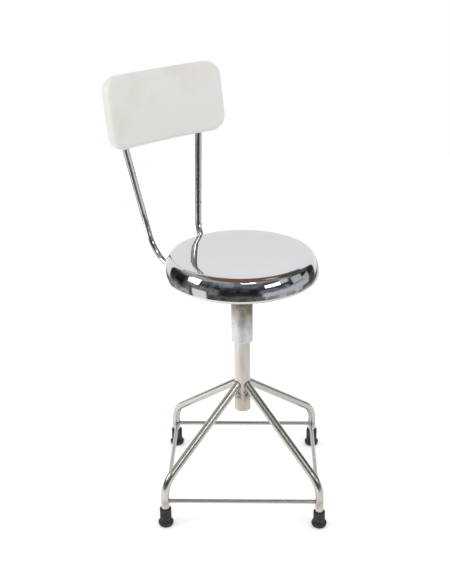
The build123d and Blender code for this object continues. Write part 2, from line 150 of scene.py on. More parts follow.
def makeRodChrome():
    # Bright chromium on drawn tube: sharp streaks, a slightly wavy skin and patches of dark pits
    material, tree, shader, place = startMaterial(
        "bright_chrome", Metallic=1.0, Roughness=rodChrome["roughness"])
    pits = addNode(tree, "TexVoronoi", {"Vector": place, "Scale": perMetre(rodChrome["pitSize"])})
    near = addNode(tree, "MapRange", {
        "Value": pits, "From Min": 0.2, "From Max": 0.34, "To Min": 1, "To Max": 0})
    patch = addNode(tree, "TexNoise", {
        "Vector": place, "Scale": perMetre(rodChrome["patchSize"]), "Detail": 3})
    where = addNode(tree, "MapRange", {"Value": patch, "From Min": 0.46, "From Max": 0.6})
    pitted = addNode(tree, "Math", {0: near, 1: where}, operation="MULTIPLY")
    colour = addNode(tree, "Mix", {
        "Factor": pitted, "A": linear(rodChrome["colour"]), "B": linear(rodChrome["pitColour"])},
        data_type="RGBA")
    wave = addNode(tree, "TexNoise", {
        "Vector": place, "Scale": perMetre(rodChrome["waveSize"]), "Detail": 1})
    bump = addNode(tree, "Bump", {
        "Height": wave, "Strength": 0.35, "Distance": rodChrome["waveDepth"] * mm})
    plug(tree, shader, {"Base Color": colour, "Normal": bump})
    return material


legSteel = {"colour": "#D3D1CD", "dark": "#BCB8B2", "heat": "#9A7F6C", "roughness": (0.092, 0.368),
            "markSize": 24, "rubSize": 3, "bloomSize": 8, "weldHeight": 63.6, "weldReach": 14,
            "weldFrom": 222, "weldTo": 246}


def makeLegSteel():
    # Polished stainless tube: soft-edged streaks, a warm cast, a brown bloom round the low welds
    material, tree, shader, place = startMaterial("polished_tube", Metallic=1.0)
    marks = addNode(tree, "TexNoise", {
        "Vector": place, "Scale": perMetre(legSteel["markSize"]), "Detail": 6})
    plain = addNode(tree, "Mix", {
        "Factor": marks, "A": linear(legSteel["colour"]), "B": linear(legSteel["dark"])},
        data_type="RGBA")
    axes = addNode(tree, "SeparateXYZ", {"Vector": place})
    level = addNode(tree, "CombineXYZ", {"X": axes.outputs["X"], "Y": axes.outputs["Y"]})
    reach = addNode(tree, "VectorMath", {0: level}, operation="LENGTH").outputs["Value"]
    outer = addNode(tree, "MapRange", {
        "Value": reach, "From Min": legSteel["weldFrom"] * mm, "From Max": legSteel["weldTo"] * mm},
        interpolation_type="SMOOTHSTEP")
    above = addNode(tree, "Math", {0: axes.outputs["Z"], 1: legSteel["weldHeight"] * mm},
                    operation="SUBTRACT")
    away = addNode(tree, "Math", {0: above}, operation="ABSOLUTE")
    band = addNode(tree, "MapRange", {
        "Value": away, "From Max": legSteel["weldReach"] * mm, "To Min": 1, "To Max": 0},
        interpolation_type="SMOOTHSTEP")
    cloud = addNode(tree, "TexNoise", {
        "Vector": place, "Scale": perMetre(legSteel["bloomSize"]), "Detail": 3})
    bloom = addNode(tree, "MapRange", {
        "Value": cloud, "From Min": 0.35, "From Max": 0.65, "To Max": 0.8})
    heat = addNode(tree, "Math", {0: outer, 1: band}, operation="MULTIPLY")
    heat = addNode(tree, "Math", {0: heat, 1: bloom}, operation="MULTIPLY")
    colour = addNode(tree, "Mix", {"Factor": heat, "A": plain, "B": linear(legSteel["heat"])},
                     data_type="RGBA")
    rubs = addNode(tree, "TexNoise", {
        "Vector": place, "Scale": perMetre(legSteel["rubSize"]), "Detail": 4})
    smoothest, roughest = legSteel["roughness"]
    spread = addNode(tree, "MapRange", {"Value": rubs, "To Min": smoothest, "To Max": roughest})
    plug(tree, shader, {"Base Color": colour, "Roughness": spread})
    return material


barSteel = {"colour": "#C5C8C6", "dark": "#B0B4B2", "roughness": (0.21, 0.39), "markSize": 12}


def makeBarSteel():
    # Bright drawn bar, cooler and duller than the tubes, with a soft, uneven shine
    material, tree, shader, place = startMaterial("drawn_bar", Metallic=1.0)
    marks = addNode(tree, "TexNoise", {
        "Vector": place, "Scale": perMetre(barSteel["markSize"]), "Detail": 6})
    colour = addNode(tree, "Mix", {
        "Factor": marks, "A": linear(barSteel["colour"]), "B": linear(barSteel["dark"])},
        data_type="RGBA")
    smoothest, roughest = barSteel["roughness"]
    spread = addNode(tree, "MapRange", {"Value": marks, "To Min": smoothest, "To Max": roughest})
    plug(tree, shader, {"Base Color": colour, "Roughness": spread})
    return material


# tail is stain with painted shade under the legs and hub; inside is painted shade in the bore
columnSteel = {"colour": "#DEDCD8", "warm": "#CBC3B9", "tail": "#CEC5B9", "burnt": "#453D35",
               "inside": "#2E2A26", "roughness": (0.32, 0.48), "turn": 2.5, "streakSize": 9,
               "streakStretch": 0.1, "tailTop": 290, "tailLow": 255, "burnHeight": 258,
               "burnReach": 24, "burnFrom": 13.2, "burnTo": 17.5, "burnSize": 6, "bore": 18.7}


def makeColumnSteel():
    # Satin stainless tube, finished along its length: dull, burnt by the welds, stained low down,
    # with painted shade on its tail and in its bore
    material, tree, shader, place = startMaterial("satin_tube", Metallic=1.0)
    along = addNode(tree, "Mapping", {
        "Vector": place, "Scale": (1, 1, columnSteel["streakStretch"])})
    noise = addNode(tree, "TexNoise", {
        "Vector": along, "Scale": perMetre(columnSteel["streakSize"]), "Detail": 8,
        "Roughness": 0.65})
    streak = addNode(tree, "MapRange", {"Value": noise, "From Min": 0.3, "From Max": 0.7})
    plain = addNode(tree, "Mix", {
        "Factor": streak, "A": linear(columnSteel["colour"]), "B": linear(columnSteel["warm"])},
        data_type="RGBA")
    # The tail below the legs is painted warmer and darker: partly stain, partly painted shade under
    # the legs and hub
    turned = addNode(tree, "Mapping", {
        "Vector": place, "Rotation": (0, 0, -radians(columnSteel["turn"]))})
    axes = addNode(tree, "SeparateXYZ", {"Vector": turned})
    low = addNode(tree, "MapRange", {
        "Value": axes.outputs["Z"], "From Min": columnSteel["tailTop"] * mm,
        "From Max": columnSteel["tailLow"] * mm}, interpolation_type="SMOOTHSTEP")
    plain = addNode(tree, "Mix", {"Factor": low, "A": plain, "B": linear(columnSteel["tail"])},
                    data_type="RGBA")
    # Burnt patches on the four sides that face a leg
    alongX = addNode(tree, "Math", {0: axes.outputs["X"]}, operation="ABSOLUTE")
    alongY = addNode(tree, "Math", {0: axes.outputs["Y"]}, operation="ABSOLUTE")
    facing = addNode(tree, "Math", {0: alongX, 1: alongY}, operation="MAXIMUM")
    underLeg = addNode(tree, "MapRange", {
        "Value": facing, "From Min": columnSteel["burnFrom"] * mm,
        "From Max": columnSteel["burnTo"] * mm}, interpolation_type="SMOOTHSTEP")
    above = addNode(tree, "Math", {0: axes.outputs["Z"], 1: columnSteel["burnHeight"] * mm},
                    operation="SUBTRACT")
    away = addNode(tree, "Math", {0: above}, operation="ABSOLUTE")
    band = addNode(tree, "MapRange", {
        "Value": away, "From Max": columnSteel["burnReach"] * mm, "To Min": 1, "To Max": 0},
        interpolation_type="SMOOTHSTEP")
    cloud = addNode(tree, "TexNoise", {
        "Vector": place, "Scale": perMetre(columnSteel["burnSize"]), "Detail": 6, "Roughness": 0.6})
    patchy = addNode(tree, "MapRange", {"Value": cloud, "From Min": 0.38, "From Max": 0.56})
    burn = addNode(tree, "Math", {0: underLeg, 1: band}, operation="MULTIPLY")
    burn = addNode(tree, "Math", {0: burn, 1: patchy}, operation="MULTIPLY")
    burnt = addNode(tree, "Mix", {"Factor": burn, "A": plain, "B": linear(columnSteel["burnt"])},
                    data_type="RGBA")
    # The bore is painted near-black: painted shade of the recess over its raw steel
    level = addNode(tree, "CombineXYZ", {"X": axes.outputs["X"], "Y": axes.outputs["Y"]})
    radius = addNode(tree, "VectorMath", {0: level}, operation="LENGTH").outputs["Value"]
    boreShade = addNode(tree, "Math", {0: radius, 1: columnSteel["bore"] * mm}, operation="LESS_THAN")
    colour = addNode(tree, "Mix", {"Factor": boreShade, "A": burnt, "B": linear(columnSteel["inside"])},
                     data_type="RGBA")
    smoothest, roughest = columnSteel["roughness"]
    spread = addNode(tree, "MapRange", {"Value": streak, "To Min": smoothest, "To Max": roughest})
    plug(tree, shader, {"Base Color": colour, "Roughness": spread})
    return material


sleeveSteel = {"colour": "#E2E2E4", "stain": "#857C69", "dark": "#8B877C", "roughness": 0.42,
               "grainSize": 2.6, "grainDepth": 0.15, "runSize": 15, "runStretch": 0.45,
               "stainLow": 418, "stainTop": 502, "stainTurn": -41.5, "stainLean": 0.1,
               "radius": 25.4}


def makeSleeveSteel():
    # Worn dull plating: frosted and finely speckled, with olive stains that run down from the seat
    material, tree, shader, place = startMaterial(
        "frosted_sleeve", Metallic=1.0, Roughness=sleeveSteel["roughness"])
    grain = addNode(tree, "TexNoise", {
        "Vector": place, "Scale": perMetre(sleeveSteel["grainSize"]), "Detail": 6})
    axes = addNode(tree, "SeparateXYZ", {"Vector": place})
    height = addNode(tree, "MapRange", {
        "Value": axes.outputs["Z"], "From Min": sleeveSteel["stainLow"] * mm,
        "From Max": sleeveSteel["stainTop"] * mm})
    runs = addNode(tree, "Mapping", {"Vector": place, "Scale": (1, 1, sleeveSteel["runStretch"])})
    cloud = addNode(tree, "TexNoise", {
        "Vector": runs, "Scale": perMetre(sleeveSteel["runSize"]), "Detail": 7, "Roughness": 0.68})
    spread = addNode(tree, "MapRange", {
        "Value": cloud, "From Min": 0.3, "From Max": 0.7, "To Min": -0.22, "To Max": 0.22})
    # The stain reaches lower on one side
    turned = addNode(tree, "Mapping", {
        "Vector": place, "Rotation": (0, 0, -radians(sleeveSteel["stainTurn"]))})
    sideways = addNode(tree, "SeparateXYZ", {"Vector": turned}).outputs["X"]
    lean = sleeveSteel["stainLean"] / (sleeveSteel["radius"] * mm)
    heavy = addNode(tree, "Math", {0: sideways, 1: lean, 2: spread}, operation="MULTIPLY_ADD")
    reach = addNode(tree, "Math", {0: height, 1: heavy}, operation="ADD")
    stained = addNode(tree, "MapRange", {"Value": reach, "From Min": 0.12, "From Max": 0.88})
    speck = addNode(tree, "MapRange", {
        "Value": grain, "From Min": 0.5, "From Max": 0.75, "To Max": 0.45})
    plain = addNode(tree, "Mix", {
        "Factor": speck, "A": linear(sleeveSteel["colour"]), "B": linear(sleeveSteel["dark"])},
        data_type="RGBA")
    colour = addNode(tree, "Mix", {
        "Factor": stained, "A": plain, "B": linear(sleeveSteel["stain"])}, data_type="RGBA")
    bump = addNode(tree, "Bump", {
        "Height": grain, "Strength": 0.25, "Distance": sleeveSteel["grainDepth"] * mm})
    plug(tree, shader, {"Base Color": colour, "Normal": bump})
    return material


vinyl = {"colour": "#E8E7E3", "stain": "#E0DACD", "roughness": 0.42, "grainSize": 0.9,
         "grainDepth": 0.1, "stainSize": 110}


def makeVinyl():
    # Calendered vinyl cloth: pale, softly glossy, fine leather grain, yellowed a little in places
    material, tree, shader, place = startMaterial(
        "white_vinyl", IOR=1.52, Roughness=vinyl["roughness"])
    cloud = addNode(tree, "TexNoise", {
        "Vector": place, "Scale": perMetre(vinyl["stainSize"]), "Detail": 3})
    patch = addNode(tree, "MapRange", {
        "Value": cloud, "From Min": 0.5, "From Max": 0.75, "To Max": 0.7})
    colour = addNode(tree, "Mix", {
        "Factor": patch, "A": linear(vinyl["colour"]), "B": linear(vinyl["stain"])},
        data_type="RGBA")
    grain = addNode(tree, "TexVoronoi", {"Vector": place, "Scale": perMetre(vinyl["grainSize"])})
    bump = addNode(tree, "Bump", {
        "Height": grain, "Strength": 0.12, "Distance": vinyl["grainDepth"] * mm})
    plug(tree, shader, {"Base Color": colour, "Normal": bump})
    return material


rubber = {"colour": "#232220", "dust": "#4A4741", "roughness": 0.7, "scuffSize": 6,
          "scuffDepth": 0.4}


def makeRubber():
    # Moulded black rubber, scuffed and dusty
    material, tree, shader, place = startMaterial(
        "black_rubber", IOR=1.5, Roughness=rubber["roughness"])
    scuff = addNode(tree, "TexNoise", {
        "Vector": place, "Scale": perMetre(rubber["scuffSize"]), "Detail": 6})
    patch = addNode(tree, "MapRange", {"Value": scuff, "From Min": 0.45, "From Max": 0.75})
    colour = addNode(tree, "Mix", {
        "Factor": patch, "A": linear(rubber["colour"]), "B": linear(rubber["dust"])},
        data_type="RGBA")
    bump = addNode(tree, "Bump", {
        "Height": scuff, "Strength": 0.4, "Distance": rubber["scuffDepth"] * mm})
    plug(tree, shader, {"Base Color": colour, "Normal": bump})
    return material


grainedMetals = {
    "zinc_plate": {"colour": "#C4C4BF", "dark": "#A9A89F", "roughness": 0.32, "grainSize": 4},
    "drawn_steel": {"colour": "#B7B6B2", "dark": "#98968F", "roughness": 0.34, "grainSize": 6},
    "cast_iron": {"colour": "#55565A", "dark": "#3C3D40", "roughness": 0.62, "grainSize": 2.5},
    "turned_bronze": {"colour": "#B58A4E", "dark": "#96703C", "roughness": 0.28, "grainSize": 4},
}
metalGrainDepth = 0.2


def makeGrainedMetal(name):
    # Turned, cast or plated metal: two tones of its colour and a grain that breaks the shine
    metal = grainedMetals[name]
    material, tree, shader, place = startMaterial(name, Metallic=1.0, Roughness=metal["roughness"])
    cloud = addNode(tree, "TexNoise", {
        "Vector": place, "Scale": perMetre(metal["grainSize"]), "Detail": 5})
    mixed = addNode(tree, "Mix", {
        "Factor": cloud, "A": linear(metal["colour"]), "B": linear(metal["dark"])},
        data_type="RGBA")
    bump = addNode(tree, "Bump", {
        "Height": cloud, "Strength": 0.15, "Distance": metalGrainDepth * mm})
    plug(tree, shader, {"Base Color": mixed, "Normal": bump})
    return material


plastics = {
    "black_plastic": {"colour": "#1E1E1F", "roughness": (0.36, 0.54), "grainSize": 1.2},
    "natural_nylon": {"colour": "#D8D4C8", "roughness": (0.32, 0.48), "grainSize": 1.2},
}


def makePlastic(name):
    # Moulded or turned plastic with a fine grain in its shine
    plastic = plastics[name]
    material, tree, shader, place = startMaterial(name, IOR=1.49)
    grain = addNode(tree, "TexNoise", {
        "Vector": place, "Scale": perMetre(plastic["grainSize"]), "Detail": 3})
    smoothest, roughest = plastic["roughness"]
    spread = addNode(tree, "MapRange", {"Value": grain, "To Min": smoothest, "To Max": roughest})
    plug(tree, shader, {"Base Color": linear(plastic["colour"]), "Roughness": spread})
    return material


plywood = {"light": "#C9A878", "middle": "#B8925F", "dark": "#9C7748", "roughness": 0.55,
           "grainSize": 5, "grainStretch": 0.06}


def makePlywood():
    # Birch plywood, sealed: pale straight grain along Y
    material, tree, shader, place = startMaterial(
        "sealed_plywood", IOR=1.5, Roughness=plywood["roughness"])
    along = addNode(tree, "Mapping", {"Vector": place, "Scale": (1, plywood["grainStretch"], 1)})
    grain = addNode(tree, "TexNoise", {
        "Vector": along, "Scale": perMetre(plywood["grainSize"]), "Detail": 6, "Distortion": 0.6})
    spread = addNode(tree, "MapRange", {"Value": grain, "From Min": 0.3, "From Max": 0.75})
    colour = addNode(tree, "ValToRGB", {"Fac": spread}, stops=[
        (0, plywood["light"]), (0.55, plywood["middle"]), (1, plywood["dark"])])
    plug(tree, shader, {"Base Color": colour})
    return material


weldSteel = {"colour": "#B9AFA2", "tint": "#6E5A4A", "roughness": 0.34, "cloudSize": 5}


def makeWeldSteel():
    # Weld metal, brushed but still straw and brown from the heat
    material, tree, shader, place = startMaterial(
        "weld_metal", Metallic=1.0, Roughness=weldSteel["roughness"])
    cloud = addNode(tree, "TexNoise", {
        "Vector": place, "Scale": perMetre(weldSteel["cloudSize"]), "Detail": 4})
    patch = addNode(tree, "MapRange", {"Value": cloud, "From Min": 0.35, "From Max": 0.7})
    colour = addNode(tree, "Mix", {
        "Factor": patch, "A": linear(weldSteel["colour"]), "B": linear(weldSteel["tint"])},
        data_type="RGBA")
    plug(tree, shader, {"Base Color": colour})
    return material


legNames = ["right", "rear", "left", "front"]
stretcherNames = [f"stretcher_{legNames[i]}_{legNames[(i + 1) % 4]}" for i in range(4)]
vinylMaterial = makeVinyl()
weldMaterial = makeWeldSteel()
zincMaterial = makeGrainedMetal("zinc_plate")
dress(makeSeatChrome(), "seat_shell")
dress(makeRodChrome(), "rod_left", "rod_right")
dress(makeLegSteel(), *[f"leg_{name}" for name in legNames])
dress(makeBarSteel(), *stretcherNames)
dress(makeColumnSteel(), "column_tube")
dress(makeSleeveSteel(), "sleeve")
dress(makeRubber(), *[f"foot_{name}" for name in legNames])
dress(vinylMaterial, "backrest_cover", "backrest_pad")
dress(zincMaterial, "flange_screws", "bearer_screws", "rod_bolts", "backrest_bolts")
dress(makeGrainedMetal("drawn_steel"), "spindle", "spindle_pin", "stop_collar", "collar_pin",
      "ring_clip", "sleeve_screws", "bearer_front", "bearer_rear", "foot_discs")
dress(makeGrainedMetal("cast_iron"), "mounting_flange")
dress(makePlywood(), "seat_core", "backrest_board")
dress(makePlastic("black_plastic"), "rod_plugs", "backrest_saddles")
dress(makePlastic("natural_nylon"), "guide_ring")
dress(makeGrainedMetal("turned_bronze"), "spindle_nut")
print("materials set on", len(frame["nodes"]), "nodes")


# Padded backrest: foam under a tight vinyl skin, bent round the sitter and leaning with the rods

pad = {"width": 333.5, "height": 168.9, "thickness": 22.4, "intoCover": 2.4, "middleStrip": 12,
       "corner": 38, "cornerSteps": 10, "frontEdge": 8, "backEdge": 2, "edgeSteps": 4, "bend": 625,
       "lean": 8.6, "voxel": 4.2, "heldDepth": 2, "pressure": 4, "stiffness": 40, "frames": 20,
       "swell": 2.6, "fill": 0.9}


def padAxes():
    # Up the panel, and back through it
    lean = radians(pad["lean"])
    return Vector((0, sin(lean), cos(lean))), Vector((0, cos(lean), -sin(lean)))


def padFront():
    # Middle of the pad's front face, from the solid it replaces
    upAxis, backAxis = padAxes()
    points = [vert.co for vert in frame["nodes"]["backrest_pad"].data.vertices]
    levels = [point.dot(upAxis) for point in points]
    strip = pad["middleStrip"] * mm
    depths = [point.dot(backAxis) for point in points if abs(point.x) < strip]
    depth = max(depths) + (pad["intoCover"] - pad["thickness"]) * mm
    return upAxis * ((min(levels) + max(levels)) / 2) + backAxis * depth


def bentPlace(flat, front):
    # From the flat pad (across, depth, up) to its place on the bent, leaning backrest
    upAxis, backAxis = padAxes()
    bend = pad["bend"] * mm
    turn = flat.x / bend
    reach = bend + flat.y
    across = Vector((reach * sin(turn), 0, 0))
    return front + upAxis * flat.z + backAxis * (reach * cos(turn) - bend) + across


def flatPad():
    # Rounded slab: its front face on the plane of X and Z, its depth along Y
    width, thickness, height = pad["width"] * mm, pad["thickness"] * mm, pad["height"] * mm
    bm = bmesh.new()
    bmesh.ops.create_cube(bm, size=1)
    bmesh.ops.scale(bm, vec=(width, thickness, height), verts=bm.verts)
    bmesh.ops.translate(bm, vec=(0, thickness / 2, 0), verts=bm.verts)
    deep = [edge for edge in bm.edges
            if abs((edge.verts[0].co - edge.verts[1].co).y) > thickness / 2]
    bmesh.ops.bevel(bm, geom=deep, offset=pad["corner"] * mm, segments=pad["cornerSteps"],
                    profile=0.5, affect="EDGES", material=-1)
    for side, edgeRadius in ((0, pad["frontEdge"]), (thickness, pad["backEdge"])):
        rim = [edge for edge in bm.edges
               if all(abs(vert.co.y - side) < mm / 1000 for vert in edge.verts)]
        bmesh.ops.bevel(bm, geom=rim, offset=edgeRadius * mm, segments=pad["edgeSteps"],
                        profile=0.5, affect="EDGES", material=-1)
    bmesh.ops.recalc_face_normals(bm, faces=bm.faces)
    mesh = bpy.data.meshes.new("pad_start")
    bm.to_mesh(mesh)
    bm.free()
    return mesh


def inflatePad(piece, held):
    # The foam presses the skin outwards; its back stays on the board
    begin = [vert.co.copy() for vert in piece.data.vertices]
    group = piece.vertex_groups.new(name="board")
    group.add(held, 1.0, "REPLACE")
    cloth = piece.modifiers.new("foam", "CLOTH")
    cloth.settings.vertex_group_mass = "board"
    cloth.settings.use_pressure = True
    cloth.settings.uniform_pressure_force = pad["pressure"]
    cloth.settings.tension_stiffness = cloth.settings.compression_stiffness = pad["stiffness"]
    cloth.settings.effector_weights.gravity = 0
    for step in range(1, pad["frames"] + 1):
        bpy.context.scene.frame_set(step)
    swollen = finishedMesh(piece)
    piece.modifiers.clear()
    piece.vertex_groups.clear()
    piece.data = swollen
    moves = [vert.co - origin for vert, origin in zip(swollen.vertices, begin)]
    largest = max(move.length for move in moves)
    for vert, origin, move in zip(swollen.vertices, begin, moves):
        vert.co = origin + move * (pad["swell"] * mm / largest)
    bpy.context.scene.frame_set(1)
    print("pad inflated:", round(largest / mm, 1), "mm, scaled to", pad["swell"])


def buildPad():
    piece = addPiece("padded_backrest", flatPad(), "seat", vinylMaterial)
    remesh = piece.modifiers.new("skin", "REMESH")
    remesh.mode = "VOXEL"
    remesh.voxel_size = pad["voxel"] * mm
    piece.data = finishedMesh(piece)
    piece.modifiers.clear()
    front = padFront()
    board = (pad["thickness"] - pad["heldDepth"]) * mm
    held = [vert.index for vert in piece.data.vertices if vert.co.y > board]
    for vert in piece.data.vertices:
        vert.co = bentPlace(vert.co, front)
    inflatePad(piece, held)
    piece.data.name = "padded_backrest"
    piece.data.materials.clear()
    piece.data.materials.append(vinylMaterial)
    piece.data.shade_smooth()
    smooth = piece.modifiers.new("smooth", "SUBSURF")
    smooth.levels = smooth.render_levels = 1
    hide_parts("backrest_pad")


buildPad()
print("padded backrest built")


# Weld beads where the legs meet the column and the stretchers meet the legs

welds = {"hubHeight": 292.5, "cornerHeight": 109, "legRadius": 9.525, "columnRadius": 19.05,
         "hubBead": 1.7, "stretcherHeight": 63.6, "stretcherRadius": 4.75, "stretcherInset": 2.5,
         "stretcherBead": 1.0, "ripple": 1.5, "rippleDepth": 0.14, "ripplePoints": 4}


def weldBead(name, trunk, trunkRadius, start, direction, branchRadius, beadRadius):
    # Rippled bead along the line where a round branch meets an upright round trunk
    direction = direction.normalized()
    sideAxis = direction.cross(Vector((0, 0, 1))).normalized()
    topAxis = sideAxis.cross(direction)
    slope = Vector((direction.x, direction.y))
    ripples = round(2 * pi * branchRadius / (welds["ripple"] * mm))
    count = ripples * welds["ripplePoints"]
    curve = bpy.data.curves.new(name, "CURVE")
    curve.dimensions = "3D"
    curve.bevel_depth = beadRadius
    curve.bevel_resolution = 2
    line = curve.splines.new("POLY")
    line.points.add(count - 1)
    line.use_cyclic_u = True
    for i, point in enumerate(line.points):
        turn = 2 * pi * i / count
        foot = start + (sideAxis * cos(turn) + topAxis * sin(turn)) * branchRadius
        offset = Vector((foot.x - trunk.x, foot.y - trunk.y))
        along = offset.dot(slope) / slope.length_squared
        gap = (offset.length_squared - trunkRadius ** 2) / slope.length_squared
        place = foot + direction * (sqrt(max(along ** 2 - gap, 0)) - along)
        point.co = (*place, 1)
        point.radius = 1 + welds["rippleDepth"] * sin(2 * pi * i / welds["ripplePoints"])
    shape = addObject(name, curve)
    mesh = finishedMesh(shape)
    bpy.data.objects.remove(shape)
    bpy.data.curves.remove(curve)
    mesh.shade_smooth()
    addPiece(name, mesh, "base", weldMaterial)


def buildWelds():
    feet = {mount["name"].removeprefix("rest_"): Vector(mount["pos_m"])
            for mount in frame["record"]["mounts"] if mount["name"].startswith("rest_")}
    hub = Vector((0, 0, welds["hubHeight"] * mm))
    legRadius = welds["legRadius"] * mm
    for name in legNames:
        corner = feet[name] + Vector((0, 0, welds["cornerHeight"] * mm))
        weldBead(f"hub_weld_{name}", hub, welds["columnRadius"] * mm, hub, corner - hub,
                 legRadius, welds["hubBead"] * mm)
    for i, name in enumerate(legNames):
        for other in (legNames[i - 1], legNames[(i + 1) % 4]):
            trunk = feet[name]
            inwards = -(trunk + feet[other]).normalized() * welds["stretcherInset"] * mm
            start = trunk + inwards + Vector((0, 0, welds["stretcherHeight"] * mm))
            weldBead(f"stretcher_weld_{name}_{other}", trunk, legRadius, start,
                     feet[other] - trunk, welds["stretcherRadius"] * mm,
                     welds["stretcherBead"] * mm)


buildWelds()
print("weld beads laid")


# Bolts through the rods and screws under the seat, with the heads that their solids leave out

# Rings from the head's end to the shank: height, width and number of flats, 0 on a round one
fasteners = {
    "hexBolt": [(0, 9, 0), (0.5, 11, 6), (2.8, 11, 6), (2.8, 12.4, 0), (4, 12.4, 0), (4, 6, 0)],
    "slottedScrew": [(0, 5.2, 0), (0.6, 7.8, 0), (1.4, 9.2, 0), (2.8, 9.5, 0), (2.8, 5, 0)],
    "segments": 24, "slotLength": 20, "slotWidth": 1.4, "slotDepth": 1.5, "sharpAngle": 35,
    "mergeGap": 0.001,
}


def screwPlaces(node):
    # Place and length of each screw, from its loose shell; Z runs from the head's end to the tip
    bm = bmesh.new()
    bm.from_mesh(frame["nodes"][node].data)
    bmesh.ops.remove_doubles(bm, verts=bm.verts, dist=fasteners["mergeGap"] * mm)
    places = []
    for first in bm.verts:
        if first.tag:
            continue
        first.tag = True
        shell = [first]
        for vert in shell:
            for edge in vert.link_edges:
                other = edge.other_vert(vert)
                if not other.tag:
                    other.tag = True
                    shell.append(other)
        points = np.array([vert.co for vert in shell])
        middle = points.mean(0)
        axis = np.linalg.svd(points - middle, full_matrices=False)[2][0]
        along = (points - middle) @ axis
        width = np.linalg.norm(points - middle - np.outer(along, axis), axis=1)
        if along[width.argmax()] > 0:  # the head is the widest
            axis, along = -axis, -along
        place = Vector(axis).to_track_quat("Z", "Y").to_matrix().to_4x4()
        place.translation = Vector(middle + axis * along.min())
        places.append((place, np.ptp(along)))
    bm.free()
    return places


def drawOut(bm, place, rings):
    # Closed stem built ring by ring along Z
    made = bmesh.ops.create_circle(bm, cap_ends=True, segments=fasteners["segments"],
                                   radius=rings[0][1] / 2 * mm)["verts"]
    face = made[0].link_faces[0]
    for height, width, flats in rings[1:]:
        drawn = bmesh.ops.extrude_face_region(bm, geom=[face])["geom"]
        face = next(item for item in drawn if isinstance(item, bmesh.types.BMFace))
        for vert in face.verts:
            turn = atan2(vert.co.y, vert.co.x)
            reach = width / 2 * mm
            if flats:
                reach *= cos(pi / flats) / cos(turn % (2 * pi / flats) - pi / flats)
            vert.co = (reach * cos(turn), reach * sin(turn), height * mm)
        made += face.verts
    bmesh.ops.transform(bm, matrix=place, verts=made)


def cutSlots(piece, places):
    # Straight slot across each head
    size = Matrix.Diagonal((fasteners["slotLength"] * mm, fasteners["slotWidth"] * mm,
                            2 * fasteners["slotDepth"] * mm, 1))
    bm = bmesh.new()
    for place, length in places:
        bmesh.ops.create_cube(bm, size=1, matrix=place @ size)
    mesh = bpy.data.meshes.new("slots")
    bm.to_mesh(mesh)
    bm.free()
    cutter = addObject("slots", mesh)
    cut = piece.modifiers.new("slots", "BOOLEAN")
    cut.object = cutter
    cut.solver = "EXACT"
    piece.data = finishedMesh(piece)
    piece.modifiers.clear()
    bpy.data.objects.remove(cutter)
    bpy.data.meshes.remove(mesh)


def buildFasteners(name, node, kind):
    places = screwPlaces(node)
    rings = fasteners[kind]
    bm = bmesh.new()
    for place, length in places:
        drawOut(bm, place, rings + [(length / mm, *rings[-1][1:])])
    bmesh.ops.recalc_face_normals(bm, faces=bm.faces)
    mesh = bpy.data.meshes.new(name)
    bm.to_mesh(mesh)
    bm.free()
    piece = addPiece(name, mesh, "seat", zincMaterial)
    if kind == "slottedScrew":
        cutSlots(piece, places)
        piece.data.name = name
    piece.data.shade_smooth()
    piece.data.set_sharp_from_angle(angle=radians(fasteners["sharpAngle"]))
    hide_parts(node)


buildFasteners("rod_hex_bolts", "rod_bolts", "hexBolt")
buildFasteners("backrest_hex_bolts", "backrest_bolts", "hexBolt")
buildFasteners("flange_slotted_screws", "flange_screws", "slottedScrew")
buildFasteners("bearer_slotted_screws", "bearer_screws", "slottedScrew")
print("bolts and screws made")


# Studio: white paper under the stool, and for mirrors the room that stands round it

# Lengths in metres; mirrorLeft and mirrorRight are the paper's glow in mirrors on either side, a
# painted light that makes its reflection brighter on the left
studio = {"viewTurn": 41.49, "paperFront": 1.0, "paperBack": 3.0, "paperSide": 1.34,
          "paperGrain": 3, "paperGlow": 0.3, "mirrorSide": 0.9, "mirrorLeft": 0.5,
          "mirrorRight": 0.0, "plainLight": 0.92, "blockScale": 5.5, "aimHeight": 0.6}


def viewerSide(across, towards, height):
    # Point given as seen by the viewer: to the right, towards the camera, up
    turn = radians(studio["viewTurn"])
    return Vector((across * cos(turn) - towards * sin(turn),
                   -across * sin(turn) - towards * cos(turn), height))


def makePaper():
    # Matt white paper, shown white to the camera while it keeps the shadow; in mirrors it glows
    # with painted light that fades from the left to nothing on the right
    material, tree, shader, place = startMaterial("background_paper", Roughness=0.9)
    grain = addNode(tree, "TexNoise", {
        "Vector": place, "Scale": perMetre(studio["paperGrain"]), "Detail": 2})
    colour = addNode(tree, "ValToRGB", {"Fac": grain}, stops=[(0, "#EDEDEC"), (1, "#F1F1F0")])
    seen = addNode(tree, "Mapping", {
        "Vector": place, "Rotation": (0, 0, radians(studio["viewTurn"]))})
    across = addNode(tree, "SeparateXYZ", {"Vector": seen}).outputs["X"]
    # Painted light: the paper glows in mirrors, strongest on the viewer's left
    mirrored = addNode(tree, "MapRange", {
        "Value": across, "From Min": -studio["mirrorSide"], "From Max": studio["mirrorSide"],
        "To Min": studio["mirrorLeft"], "To Max": studio["mirrorRight"]})
    ray = addNode(tree, "LightPath")
    glow = addNode(tree, "Math", {0: ray.outputs["Is Glossy Ray"], 1: mirrored},
                   operation="MULTIPLY")
    glow = addNode(tree, "Math", {
        0: ray.outputs["Is Camera Ray"], 1: studio["paperGlow"], 2: glow}, operation="MULTIPLY_ADD")
    plug(tree, shader, {
        "Base Color": colour, "Emission Color": (1, 1, 1, 1), "Emission Strength": glow})
    return material


def buildFloor():
    mesh = bpy.data.meshes.new("paper_floor")
    bm = bmesh.new()
    bmesh.ops.create_grid(bm, x_segments=1, y_segments=1, size=1)
    for vert in bm.verts:
        towards = studio["paperFront"] if vert.co.y < 0 else -studio["paperBack"]
        vert.co = viewerSide(vert.co.x * studio["paperSide"], towards, 0)
    bm.to_mesh(mesh)
    bm.free()
    floor = addObject("paper_floor", mesh)
    mesh.materials.append(makePaper())


